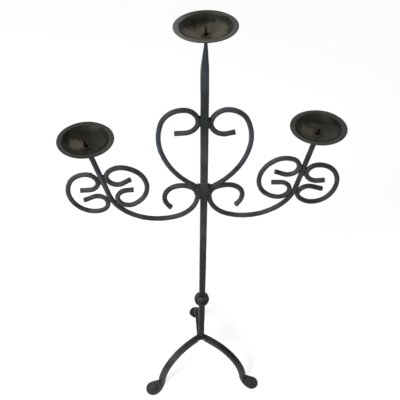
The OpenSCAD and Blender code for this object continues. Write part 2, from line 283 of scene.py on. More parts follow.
def seat(side):
    """Where a side arm passes through its pan."""
    place = (REACH, ARM_Z[side], -90.0)
    for move in (*ARM_SWOOP[side], (0, STEM[side])):
        place = step(place, move, 1)
    return place


def beside_stem(side, drop, out):
    """A place drop below a side pan, and out rod widths to the outside of the stem."""
    x, z, heading = seat(side)
    turn = radians(heading)
    away = out * BESIDE
    return (x - drop * cos(turn) + away * sin(turn),
            z - drop * sin(turn) - away * cos(turn), heading)


def seats():
    """The three seats as (name, [x, z, heading]) with x as it is in the frame."""
    left, right = seat(LEFT), seat(RIGHT)
    return (("top", TOP_SEAT), ("left", (-left[0], left[1], 180.0 - left[2])), ("right", right))


def blend(value, table):
    """Value of a table of (place, amount) pairs, with smooth steps between them."""
    for (low, first), (high, last) in zip(table, table[1:]):
        if value <= high:
            share = max(0.0, (value - low) / (high - low))
            return first + (last - first) * share * share * (3 - 2 * share)
    return table[-1][1]


# ---- bars from rings ----

# How far a rod's end is upset or drawn in, and the lengths over which it sways, in millimetres.
END_REACH = 5.0
SWAY_LENGTH = 45.0
# Size of the hammer marks on a rod, and what counts as touching, in metres.
ROD_DENT = 0.011
TOUCHING = 1e-7
# Where the mesh of a square bar is divided: shares of the flat, and steps round an arris.
FLAT_SHARES = (0.0, 0.45, 0.8)
CORNER_STEPS = 4


def round_outline(quadrant):
    """Unit circle as (u, v, nearness to an arris)."""
    count = 4 * quadrant
    return [(cos(tau * i / count), sin(tau * i / count), 0.0) for i in range(count)]


def square_outline(corner):
    """Unit square with rounded arrises, as (u, v, nearness to an arris)."""
    flat = 1.0 - corner
    quarter = [(1.0, share * flat, 0.0) for share in FLAT_SHARES]
    for i in range(CORNER_STEPS + 1):
        angle = pi / 2 * i / CORNER_STEPS
        nearness = 1.0 - abs(2.0 * i / CORNER_STEPS - 1.0) * 0.6
        quarter.append((flat + corner * cos(angle), flat + corner * sin(angle), nearness))
    quarter += [(share * flat, 1.0, 0.0) for share in reversed(FLAT_SHARES[1:])]
    points = []
    for turn in range(4):
        right, up = round(cos(turn * pi / 2)), round(sin(turn * pi / 2))
        points += [(u * right - v * up, u * up + v * right, n) for u, v, n in quarter]
    return points


def rounder(outline, roundness):
    """Moves each point of a square outline towards the circle it stands for."""
    points = []
    for u, v, nearness in outline:
        size = hypot(u, v)
        points.append((u + (u / size - u) * roundness, v + (v / size - v) * roundness, nearness))
    return points


def domed_outline(outline, dome):
    """Rounds the upper side of a square outline, and its lower side a third as much."""
    upper, lower = rounder(outline, dome), rounder(outline, dome / 3)
    return [high if low[0] > 0.0 else low for high, low in zip(upper, lower)]


def ring(origin, up, half_up, half_across, outline, roundness=0.0):
    """Points of an outline round a place on a bar, in metres."""
    points = rounder(outline, roundness) if roundness > 0.0 else outline
    return [(origin + up * (u * half_up) + BAR_AXIS * (v * half_across)) * MM for u, v, _n in points]


def draw_out(bm, outline, rings, end_bevels=(0.0, 0.0), capped=True, soots=None):
    """Extrudes an outline from ring to ring and caps both ends. Returns the end edges."""
    index = bm.verts.layers.int.new("ring_index")
    arris = bm.verts.layers.float.new("arris")
    soot = bm.verts.layers.float.new("soot")
    verts = bmesh.ops.create_circle(bm, segments=len(outline), radius=1.0)["verts"]
    edges = bm.edges[:]
    for i, vert in enumerate(verts):
        vert[index] = i
        vert[arris] = outline[i][2]
        vert.co = rings[0][i]
    first_edges = edges
    for i, points in enumerate(rings[1:], 1):
        made = bmesh.ops.extrude_edge_only(bm, edges=edges)["geom"]
        verts = {item for item in made if isinstance(item, bmesh.types.BMVert)}
        edges = [item for item in made if isinstance(item, bmesh.types.BMEdge)
                 and item.verts[0] in verts and item.verts[1] in verts]
        for vert in verts:
            vert.co = points[vert[index]]
            vert[soot] = soots[i] if soots else 0.0
    if capped:
        for end, bevel in zip((first_edges, edges), end_bevels):
            bmesh.ops.edgeloop_fill(bm, edges=end)
            if bevel > 0.0:
                bmesh.ops.bevel(bm, geom=end, offset=bevel * MM, offset_type="OFFSET", segments=3,
                                profile=0.5, affect="EDGES", material=-1)
    return first_edges + edges


def hammer(bm, depth, length, seed, stretch=(1.0, 1.0, 1.0)):
    """Moves the surface in and out a little, as hammering leaves it."""
    bm.normal_update()
    offset = Vector((seed * 7.3, seed * 3.1, seed * 5.7))
    for vert in bm.verts:
        spot = Vector((vert.co.x * stretch[0], vert.co.y * stretch[1], vert.co.z * stretch[2]))
        rise = noise.noise(spot / length + offset) + 0.4 * noise.noise(spot / length * 2.7 + offset)
        vert.co += vert.normal * depth * rise


def add_piece(bm, name, node, material):
    """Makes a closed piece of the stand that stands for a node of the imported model."""
    bmesh.ops.recalc_face_normals(bm, faces=bm.faces)
    for face in bm.faces:
        face.smooth = True
    mesh = bpy.data.meshes.new(name)
    bm.to_mesh(mesh)
    bm.free()
    piece = bpy.data.objects.new(name, mesh)
    bpy.context.scene.collection.objects.link(piece)
    mesh.materials.append(bpy.data.materials[material])
    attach(piece, "root")
    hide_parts(node)


def rod_halves(count, stout, ends):
    """Half widths of a rod at its rings. ends says how much each end is upset or drawn in."""
    sizes = bpy.context.scene.candle_stand_sizes
    half = sizes.rod / MM / 2 * stout
    reach = END_REACH / (sizes.ring_step / MM)
    halves = []
    for i in range(count):
        near_start = max(0.0, 1.0 - i / reach)
        near_end = max(0.0, 1.0 - (count - 1 - i) / reach)
        halves.append(half * (1.0 + (ends[0] - 1.0) * near_start + (ends[1] - 1.0) * near_end))
    return halves


def add_rod(name, node, finish, side, seed, places, halves, bevels, sway=0.5, soots=None):
    """A bent round rod with cut ends, which sways a little out of the plane of the scrollwork."""
    sizes = bpy.context.scene.candle_stand_sizes
    outline = round_outline(sizes.rod_quadrant)
    sign = SIDE_SIGNS[side]
    rings = []
    for (x, z, heading), half in zip(places, halves):
        turn = radians(heading)
        drift = sway * noise.noise(Vector((x / SWAY_LENGTH, seed, z / SWAY_LENGTH)))
        normal = Vector((-sign * sin(turn), 0.0, cos(turn)))
        rings.append(ring(Vector((sign * x, drift, z)), normal, half, half, outline))
    bm = bmesh.new()
    draw_out(bm, outline, rings, bevels, soots=soots)
    hammer(bm, sizes.hammer, ROD_DENT, seed)
    add_piece(bm, name, node, finish)


def spike_stations(sizes, step_length=1.3):
    """Distances above a pan's underside and half widths, up to the point of the spike."""
    neck = sizes.neck / MM / 2
    washer_top = (sizes.sheet / MM) + WASHER_THICK
    spike = sizes.spike / MM
    stations = [(washer_top * i / 2, neck) for i in (1, 2)]
    for share in between(0.0, 1.0, round(spike / step_length)):
        stations.append((washer_top + spike * share, neck + (0.85 - neck) * share))
    stations.append((washer_top + spike + 0.4, 0.35))
    return stations


# ---- finishes ----

class NodeNet:
    """A tree of shader nodes, with a short call for each kind that the finishes use."""

    def __init__(self, tree, coordinates="Object"):
        self.tree = tree
        tree.nodes.clear()
        self.place = self.put("TexCoord")[coordinates]

    def feed(self, node, inputs):
        """Links each input that is given a socket, and sets the others. Returns the outputs."""
        for name, value in inputs.items():
            socket = node.inputs[name]
            if isinstance(value, bpy.types.NodeSocket):
                self.tree.links.new(value, socket)
            else:
                socket.default_value = (*value, 1.0) if socket.type == "RGBA" else value
        return node.outputs

    def put(self, kind, inputs=None, **settings):
        """Adds a node with its settings and feeds it."""
        node = self.tree.nodes.new("ShaderNode" + kind)
        for name, value in settings.items():
            setattr(node, name, value)
        return self.feed(node, inputs or {})

    def group(self, name, **inputs):
        """Places a group and feeds it."""
        node = self.tree.nodes.new("ShaderNodeGroup")
        node.node_tree = bpy.data.node_groups[name]
        return self.feed(node, inputs)

    def joined(self, operation, first, second=0.0, **settings):
        """Two values joined by a math node."""
        return self.put("Math", {0: first, 1: second}, operation=operation, **settings)[0]

    def plus(self, first, second):
        """Sum of two values."""
        return self.joined("ADD", first, second)

    def times(self, product, *values):
        """Product of values."""
        for value in values:
            product = self.joined("MULTIPLY", product, value)
        return product

    def vector(self, operation, *inputs):
        """A vector from a vector math node, or the length of one."""
        made = self.put("VectorMath", dict(enumerate(inputs)), operation=operation)
        return made["Value" if operation == "LENGTH" else "Vector"]

    def split(self, vector):
        """The three values of a vector."""
        return self.put("SeparateXYZ", {0: vector})

    def mixed(self, share, first, second):
        """Mix of two colours."""
        return self.put("Mix", {0: share, 6: first, 7: second}, data_type="RGBA")[2]

    def spread(self, value, low, high, to_low=0.0, to_high=1.0):
        """Stretches a value between two limits, smoothly."""
        return self.put("MapRange", {"Value": value, "From Min": low, "From Max": high,
                                     "To Min": to_low, "To Max": to_high},
                        interpolation_type="SMOOTHSTEP")[0]

    def grain(self, scale, detail=3.0, roughness=0.6):
        """Noise on the coordinates, as a value."""
        return self.put("TexNoise", {"Vector": self.place, "Scale": scale, "Detail": detail,
                                     "Roughness": roughness})[0]

    def marked(self, name):
        """The amount that a piece's attribute gives."""
        return self.put("Attribute", attribute_name=name)[2]

    def facing_up(self, low, high):
        """How far the surface faces up."""
        return self.spread(self.split(self.put("NewGeometry")["Normal"])[2], low, high)

    def by_height(self, height, stops):
        """Tones that change smoothly with a height of 0 to 1 m. A stop is (height, colour)."""
        ramp = self.tree.nodes.new("ShaderNodeValToRGB")
        ramp.color_ramp.interpolation = "EASE"
        points = ramp.color_ramp.elements
        for i, (place, tone) in enumerate(stops):
            point = points[i] if i < 2 else points.new(place)
            point.position = place
            point.color = (*tone, 1.0)
        return self.feed(ramp, {0: height})[0]


def new_group(name, inputs, *outputs):
    """An empty group with inputs {name: default}. An output named Color gives a colour."""
    tree = bpy.data.node_groups.new(name, "ShaderNodeTree")
    for label, default in inputs.items():
        kind = "NodeSocketFloat" if isinstance(default, float) else "NodeSocketColor"
        tree.interface.new_socket(label, in_out="INPUT", socket_type=kind).default_value = default
    for label in outputs:
        kind = "NodeSocketColor" if label == "Color" else "NodeSocketFloat"
        tree.interface.new_socket(label, in_out="OUTPUT", socket_type=kind)
    net = NodeNet(tree)
    return net, tree.nodes.new("NodeGroupInput").outputs, tree.nodes.new("NodeGroupOutput")


def make_groups():
    """The effects that more than one finish uses."""
    net, given, result = new_group(
        "paint_mottle", {"Deep": (0.03, 0.03, 0.03, 1), "Pale": (0.06, 0.06, 0.06, 1),
                         "Bloom": (0.08, 0.07, 0.06, 1), "Scale": 30.0, "Amount": 0.3},
        "Color", "Patches")
    patches = net.spread(net.grain(given["Scale"], 2.0, 0.55), 0.36, 0.66)
    fine = net.spread(net.grain(900.0, 2.0, 0.55), 0.3, 0.75, -0.18, 0.18)
    base = net.mixed(net.joined("ADD", patches, fine, use_clamp=True), given["Deep"], given["Pale"])
    bloom = net.times(net.spread(net.grain(17.0, 4.0, 0.65), 0.52, 0.72), given["Amount"])
    net.feed(result, {"Color": net.mixed(bloom, base, given["Bloom"]), "Patches": patches})

    net, given, result = new_group("forged_relief", {"Dents": 110.0, "Grit": 1400.0, "Share": 0.25},
                                   "Height")
    grit = net.times(net.grain(given["Grit"]), given["Share"])
    net.feed(result, {"Height": net.plus(net.grain(given["Dents"], 2.0, 0.5), grit)})

    # Rubbed paint on an arris, which also stands for a painted highlight along it.
    net, given, result = new_group("arris_wear_and_highlight", {"Amount": 0.6}, "Mask")
    edge = net.spread(net.marked("arris"), 0.35, 1.0)
    patchy = net.spread(net.grain(160.0, 3.0, 0.7), 0.42, 0.66)
    net.feed(result, {"Mask": net.times(edge, patchy, given["Amount"])})

    net, given, result = new_group("settled_dust", {"Amount": 0.3}, "Mask")
    cloudy = net.spread(net.grain(60.0, 4.0, 0.65), 0.35, 0.7)
    net.feed(result, {"Mask": net.times(net.facing_up(0.25, 1.0), cloudy, given["Amount"])})


def new_finish(name, shine):
    """A material and its shader. Numbers that are the same all over are set on the shader."""
    material = bpy.data.materials.new(name)
    material.use_nodes = True
    net = NodeNet(material.node_tree)
    shader = net.tree.nodes.new("ShaderNodeBsdfPrincipled")
    shader.inputs["Specular IOR Level"].default_value = shine
    net.feed(net.tree.nodes.new("ShaderNodeOutputMaterial"), {"Surface": shader.outputs[0]})
    return net, shader


def mottled(net, finish, deep, pale, scale, amount):
    """Paint in two tones with a warm bloom."""
    return net.group("paint_mottle", Deep=deep, Pale=pale, Bloom=finish.iron_warm, Scale=scale,
                     Amount=amount)


def relief(net, dents, grit, share):
    """Height of a forged skin, from the scales of its dents and grit and the grit's share."""
    return net.group("forged_relief", Dents=dents, Grit=grit, Share=share)["Height"]


def finish_off(net, shader, tone, rough, height, depth, strength):
    """Gives the shader its colour, its roughness and the normal of its relief."""
    normal = net.put("Bump", {"Height": height, "Distance": depth, "Strength": strength})[0]
    net.feed(shader, {"Base Color": tone, "Roughness": rough, "Normal": normal})


def make_iron(name, finish, patch_scale, wear_and_highlight, bloom, painted_light_tones):
    """Black paint on forged bar: mottled, with dust on top and rubbed arrises that also carry a painted
    highlight, and light and shade painted in by height.
    """
    net, shader = new_finish(name, DULL.get(name, BAR_SHINE))
    mottle = mottled(net, finish, finish.iron_deep, finish.iron_pale, patch_scale, bloom)
    tone = net.mixed(net.group("settled_dust", Amount=0.2)["Mask"], mottle["Color"], finish.worn_and_highlit)
    aside, _back, height = net.split(net.place)
    # Painted light and shade: tones by height that make the paint lighter where light falls on the piece
    # and darker where it is in shade.
    painted_light_and_shade = net.by_height(height, painted_light_tones)
    # The heart's small curls get painted light and shade of their own.
    if name in CURL_TONES:
        curl = net.times(net.spread(net.joined("ABSOLUTE", aside), *CURL_EDGE),
                         net.spread(height, *CURL_FOOT), net.spread(height, *CURL_HEAD))
        painted_light_and_shade = net.mixed(curl, painted_light_and_shade, CURL_TONES[name])
    tone = net.vector("MULTIPLY", net.vector("MULTIPLY", tone, painted_light_and_shade), (TONE_SCALE,) * 3)
    # Rubbed paint on the arrises, which also paints a highlight along them, most of all on the legs.
    if wear_and_highlight:
        rubbed_and_highlit = net.group("arris_wear_and_highlight", Amount=net.spread(height, *WEAR_HEIGHTS, *wear_and_highlight))["Mask"]
        tone = net.mixed(rubbed_and_highlit, tone, finish.worn_and_highlit)
    tone = net.mixed(net.marked("soot"), tone, finish.soot)
    rough = net.spread(mottle["Patches"], 0.0, 1.0, 0.34, 0.5)
    finish_off(net, shader, tone, rough, relief(net, 120.0, 1500.0, 0.12), depth=0.0006,
               strength=0.7)


def make_washer(finish):
    """Washers under old wax, black with soot next to the spike and in patches."""
    net, shader = new_finish("sooty_washer", WASHER_SHINE)
    cloud = net.grain(230.0, 3.0, 0.65)
    film = net.mixed(net.spread(cloud, 0.35, 0.6), finish.pan_deep, finish.iron_warm)
    film = net.mixed(net.spread(cloud, 0.60, 0.66), film, finish.wax_and_reflection_tone)
    tone = net.mixed(net.marked("soot"), film, finish.soot)
    rough = net.spread(cloud, 0.3, 0.7, 0.6, 0.4)
    finish_off(net, shader, tone, rough, relief(net, 300.0, 1800.0, 0.4), depth=0.0005,
               strength=0.8)


def make_weld(name, finish, scaled):
    """Weld metal with spatter, painted over thinly. scaled says whether brown scale shows."""
    net, shader = new_finish(name, WELD_SHINE)
    mottle = mottled(net, finish, finish.weld_dark, finish.iron_pale, scale=170.0, amount=0.3)
    tone = mottle["Color"]
    if scaled:
        aside = net.joined("ABSOLUTE", net.plus(net.split(net.place)[0], SCALE_LEFT))
        blotch = net.grain(240.0)
        wander = net.plus(aside, net.spread(blotch, 0.3, 0.7, -0.004, 0.004))
        front = net.spread(wander, *SCALE_REACH)
        rust = net.times(front, net.spread(blotch, 0.34, 0.6, 0.25, 1.0))
        tone = net.mixed(rust, tone, finish.weld_brown)
    pits = net.put("TexVoronoi", {"Vector": net.place, "Scale": 620.0})[0]
    pit = net.spread(pits, 0.12, 0.4)
    tone = net.mixed(pit, finish.weld_dark, tone)
    rough = net.spread(mottle["Patches"], 0.0, 1.0, 0.45, 0.7)
    height = net.plus(relief(net, 500.0, 2600.0, 0.5), net.times(pit, 0.5))
    finish_off(net, shader, tone, rough, height, depth=0.0006, strength=0.9)


def make_pan(name, finish, centre):
    """Black paint in a pan: a pale brim that is dust and painted light together, painted light and shade on
    the steep wall, and a painted reflection over the near half of the floor with a pool that is partly old
    wax and partly painted reflection.
    """
    reflection_share, (pool_x, pool_y), pool_share, slant = PAN_REFLECTION_AND_WAX[name]
    left, right, near, far = PAN_BRIM[name]
    net, shader = new_finish("pan_paint_" + name, PAN_SHINE)
    middle = net.put("Mapping", {0: net.place, "Location": [-value for value in centre]})[0]
    across, back, _up = net.split(middle)
    flat = net.put("CombineXYZ", {0: across, 1: back})[0]
    radius = net.vector("LENGTH", flat)
    cloud = net.grain(48.0)
    wander = net.spread(cloud, 0.25, 0.75, -PAN_WANDER, PAN_WANDER)
    mottle = mottled(net, finish, finish.pan_deep, finish.pan_pale, scale=34.0, amount=0.35)

    # Painted light and shade: the steep wall gets a tone of its own.
    wall = net.spread(net.plus(radius, net.times(wander, 0.5)), *WALL_RADII)
    tone = net.mixed(net.times(wall, 0.85), mottle["Color"], finish.wall)

    # Painted reflection of a bright room on the near half of the floor, and a pool that is partly old wax
    # and partly painted reflection.
    line = net.joined("SUBTRACT", back, net.times(across, slant))
    wax_and_reflection_floor = net.times(net.spread(net.plus(radius, wander), *WAX_AND_REFLECTION_RADII),
                           net.spread(net.plus(line, net.times(wander, 0.9)), *WAX_AND_REFLECTION_BACK))
    film = net.times(net.spread(net.grain(30.0, 4.0), 0.3, 0.62, 0.6, 1.0),
                     net.spread(across, -0.03, 0.03, 1.0, 0.58), reflection_share)
    pool = net.vector("SUBTRACT", flat, (pool_x * MM, pool_y * MM, 0.0))
    pool = net.vector("LENGTH", net.vector("MULTIPLY", pool, (0.85, 1.1, 1.0)))
    pool = net.plus(pool, net.times(wander, 0.6))
    pooled = net.spread(pool, *POOL_RADII)
    pooled = net.times(pooled, pooled, pool_share)
    edge = net.joined("ABSOLUTE", net.joined("SUBTRACT", pool, TIDE_RADIUS))
    tide = net.spread(edge, 0.0, TIDE_WIDTH, 0.62, 1.0)
    reflecting_and_waxed = net.times(net.joined("MAXIMUM", film, pooled), wax_and_reflection_floor, tide)
    tone = net.mixed(reflecting_and_waxed, tone, finish.wax_and_reflection_tone)

    # Painted shade: the left and right walls are darkened to the soot colour.
    aside = net.spread(net.joined("ABSOLUTE", across), 0.018, 0.034)
    tone = net.mixed(net.times(aside, wall, 0.92), tone, finish.soot)

    # The pale brim: dust on its upper face, and painted light that differs from side to side.
    brim = net.spread(net.plus(radius, net.times(wander, 0.12)), *BRIM_RADII)
    brim = net.times(brim, net.spread(cloud, 0.3, 0.7, 0.75, 1.0), net.facing_up(0.0, 0.3))
    dust_and_light = net.times(net.spread(across, -0.04, 0.04, left, right),
                      net.spread(back, -0.042, -0.028, near, 1.0),
                      net.spread(back, 0.026, 0.042, 1.0, far))
    tone = net.mixed(net.times(brim, dust_and_light), tone, finish.brim_tone)
    rough = net.spread(cloud, 0.3, 0.7, 0.3, 0.45)
    finish_off(net, shader, tone, rough, relief(net, 70.0, 1300.0, 0.05), depth=0.0012,
               strength=0.5)


TONE_SCALE = 4.0
# Each pan: share of the painted reflection on the near half of its floor, the centre and share of the pool,
# which is partly old wax and partly painted reflection, and how far the line where they end runs back
# towards the right.
PAN_REFLECTION_AND_WAX = {"top": (0.94, (-19.0, 1.0), 0.9, 0.3), "left": (0.11, (-16.5, 4.0), 0.78, 0.0),
           "right": (0.41, (-16.0, 7.0), 0.5, 0.0)}
# How much pale tone each brim gets at its left, right, near and far side, dust and painted light together.
PAN_BRIM = {"top": (1.0, 0.48, 0.45, 0.15), "left": (0.41, 0.39, 0.15, 0.5),
            "right": (0.45, 0.37, 0.58, 0.72)}
BAR_SHINE, WASHER_SHINE, WELD_SHINE, PAN_SHINE = 0.12, 0.15, 0.14, 0.13
# Lengths in metres. A pair fades in from its first to its second.
# The heights between which wear and its painted highlight set in, how far the brown scale is off to the
# left and how far from there it reaches.
WEAR_HEIGHTS = (0.3, 0.6)
SCALE_LEFT = 0.003
SCALE_REACH = (0.0135, 0.0095)
# In a pan, from its middle: the steep wall with its painted light and shade, the brim, the painted
# reflection and wax on the floor, the line at the back where they end, the pool of wax and painted
# reflection and the darker line round it, and how far all these edges wander.
WALL_RADII = (0.027, 0.034)
BRIM_RADII = (0.0366, 0.0382)
WAX_AND_REFLECTION_RADII = (0.0325, 0.0275)
WAX_AND_REFLECTION_BACK = (0.027, 0.017)
POOL_RADII = (0.0190, 0.0075)
TIDE_RADIUS = 0.0138
TIDE_WIDTH = 0.0022
PAN_WANDER = 0.006
# Iron that shines less than the rest.
DULL = {"black_iron_ball": 0.06, "black_iron_leg_rear": 0.03}


def one_tone(tone):
    """Stops of a finish that has the same tone at all heights."""
    return (0.0, tone), (1.0, tone)


# Each iron finish: scale of its patches, wear on its arrises (low and high on the stand), which also paints
# a highlight along them, bloom, and tones by height in metres. The tones paint light and shade: each piece
# is lighter where light falls on it and darker in shade, the left side of the stand lighter than the right,
# and some pieces bluer high up, a painted reflection of the sky. A tone times TONE_SCALE multiplies the
# colours of the paint.
IRON = {
    "black_iron_bar": (22.0, (0.0, 0.35), 0.3, (
        (0.10, (0.05, 0.056, 0.05)), (0.23, (0.05, 0.06, 0.05)), (0.30, (0.14, 0.15, 0.13)),
        (0.40, (0.155, 0.16, 0.14)), (0.50, (0.45, 0.45, 0.465)), (0.57, (0.20, 0.20, 0.19)),
        (0.61, (0.38, 0.37, 0.36)), (0.64, (0.41, 0.42, 0.44)), (0.69, (0.44, 0.41, 0.39)),
        (0.735, (0.185, 0.185, 0.20)), (0.79, (0.33, 0.355, 0.41)), (0.88, (0.385, 0.425, 0.52)))),
    "black_iron_heart_left": (28.0, None, 0.25, (
        (0.64, (0.39, 0.39, 0.39)), (0.70, (0.60, 0.68, 0.85)), (0.74, (0.47, 0.49, 0.58)),
        (0.77, (0.29, 0.26, 0.26)))),
    "black_iron_heart_right": (28.0, None, 0.25, (
        (0.64, (0.32, 0.31, 0.32)), (0.71, (0.52, 0.56, 0.73)), (0.79, (0.45, 0.44, 0.47)))),
    "black_iron_arm_left": (28.0, None, 0.25, (
        (0.57, (0.40, 0.39, 0.37)), (0.64, (0.48, 0.51, 0.57)), (0.70, (0.58, 0.63, 0.75)))),
    "black_iron_arm_right": (28.0, None, 0.25, (
        (0.565, (0.45, 0.43, 0.42)), (0.60, (0.32, 0.31, 0.315)), (0.66, (0.24, 0.24, 0.245)))),
    "black_iron_scroll": (30.0, None, 0.25, one_tone((0.43, 0.415, 0.41))),
    # Lit and shaded copies of the scroll paint: painted light and painted shade.
    "black_iron_scroll_painted_lit": (30.0, None, 0.3, one_tone((0.47, 0.45, 0.45))),
    "black_iron_scroll_painted_shade": (30.0, None, 0.2, one_tone((0.35, 0.345, 0.34))),
    "black_iron_leg_left": (26.0, (0.9, 0.9), 0.45, (
        (0.004, (0.54, 0.54, 0.53)), (0.008, (0.52, 0.53, 0.51)), (0.018, (0.41, 0.42, 0.41)),
        (0.088, (0.40, 0.41, 0.40)), (0.110, (0.20, 0.21, 0.20)))),
    "black_iron_leg_right": (26.0, (0.8, 0.8), 0.45, (
        (0.008, (0.27, 0.28, 0.255)), (0.018, (0.19, 0.21, 0.20)), (0.09, (0.19, 0.20, 0.19)),
        (0.12, (0.265, 0.245, 0.21)))),
    "black_iron_leg_rear": (26.0, None, 0.3, (
        (0.004, (0.25, 0.27, 0.23)), (0.015, (0.12, 0.13, 0.115)), (0.035, (0.085, 0.09, 0.08)),
        (0.09, (0.085, 0.09, 0.08)), (0.12, (0.17, 0.175, 0.165)))),
    "black_iron_ball": (60.0, None, 0.3, (
        (0.255, (0.08, 0.095, 0.075)), (0.268, (0.13, 0.15, 0.13)), (0.279, (0.52, 0.53, 0.53)))),
}

# Painted light and shade of the heart's small curls, which takes the place of the tones by height there and
# is warmer and darker than the large curves beside them. It fades out sideways, below and above, between
# these distances in metres.
CURL_TONES = {"black_iron_heart_left": (0.43, 0.42, 0.41),
              "black_iron_heart_right": (0.37, 0.36, 0.365)}
CURL_EDGE = (0.054, 0.046)
CURL_FOOT = (0.67, 0.69)
CURL_HEAD = (0.770, 0.754)


# ---- pieces ----

class CANDLESTAND_OT_finishes(Operator):
    """Make the paint of the bars, the pans and the welds"""
    bl_idname = "candle_stand.finishes"
    bl_label = "Finishes"

    def execute(self, context):
        finish = context.scene.candle_stand_finish
        make_groups()
        for name, look in IRON.items():
            make_iron(name, finish, *look)
        make_washer(finish)
        make_weld("weld_scale", finish, True)
        make_weld("weld_painted", finish, False)
        for name, (x, z, _heading) in seats():
            make_pan(name, finish, (x * MM, 0.0, z * MM))
        return {"FINISHED"}


class CANDLESTAND_OT_post(Operator):
    """Draw the square post up to its round neck and its spike"""
    bl_idname = "candle_stand.post"
    bl_label = "Post"

    def execute(self, context):
        sizes = context.scene.candle_stand_sizes
        half = sizes.post_side / MM / 2
        neck = sizes.neck / MM / 2
        rise = TAPER_END - TAPER_START
        inset = half - neck
        arc = (rise * rise + inset * inset) / (2 * inset)
        step_length = 2.5
        count = round((TAPER_START - POST_FOOT) / step_length)
        heights = [POST_FOOT] + between(POST_FOOT, TAPER_START, count)
        stations = [(z, half, 0.0) for z in heights]
        for up in between(0.0, rise, round(rise / step_length)):
            drawn = arc - sqrt(arc * arc - up * up)
            roundness = blend(up / rise, ((0.35, 0.0), (1.0, 1.0)))
            stations.append((TAPER_START + up, half - drawn, roundness))
        seat_z = TOP_SEAT[1]
        stations += [(z, neck, 1.0) for z in between(TAPER_END, seat_z, 4)]
        below = len(stations)
        stations += [(seat_z + up, width, 1.0) for up, width in spike_stations(sizes)]
        soots = [0.0 if i < below else 1.0 for i in range(len(stations))]
        outline = square_outline(POST_ARRIS)
        rings = []
        for z, width, roundness in stations:
            origin = Vector((blend(z, POST_BOW), 0.0, z))
            rings.append(ring(origin, Vector((1, 0, 0)), width, width, outline, roundness))
        bm = bmesh.new()
        draw_out(bm, outline, rings, (0.6, 0.0), soots=soots)
        hammer(bm, sizes.hammer * 1.1, length=0.016, seed=1.0, stretch=(1.0, 1.0, 0.45))
        add_piece(bm, "forged_post", "post", "black_iron_bar")
        return {"FINISHED"}


class CANDLESTAND_OT_ball(Operator):
    """Forge the ball that is driven onto the post"""
    bl_idname = "candle_stand.ball"
    bl_label = "Ball"

    def execute(self, context):
        sizes = context.scene.candle_stand_sizes
        radius = sizes.ball / MM / 2 + BALL_PROUD
        hole = sizes.post_side / MM / 2 + CLEARANCE
        outline = square_outline(BALL_ARRIS)
        steps = 28
        rings = []
        for i in range(steps + 1):
            points = []
            for u, v, _nearness in outline:
                start = asin(hole * hypot(u, v) / radius)
                lean = start + (pi - 2 * start) * i / steps
                around = atan2(v, u)
                points.append(Vector((radius * sin(lean) * cos(around) + BALL_ASIDE,
                                      radius * sin(lean) * sin(around),
                                      BALL_Z + radius * cos(lean))) * MM)
            rings.append(points)
        bm = bmesh.new()
        bmesh.ops.bridge_loops(bm, edges=draw_out(bm, outline, rings, capped=False))
        hammer(bm, sizes.hammer * 1.6, length=0.008, seed=2.0)
        add_piece(bm, "forged_ball", "ball_collar", "black_iron_ball")
        return {"FINISHED"}


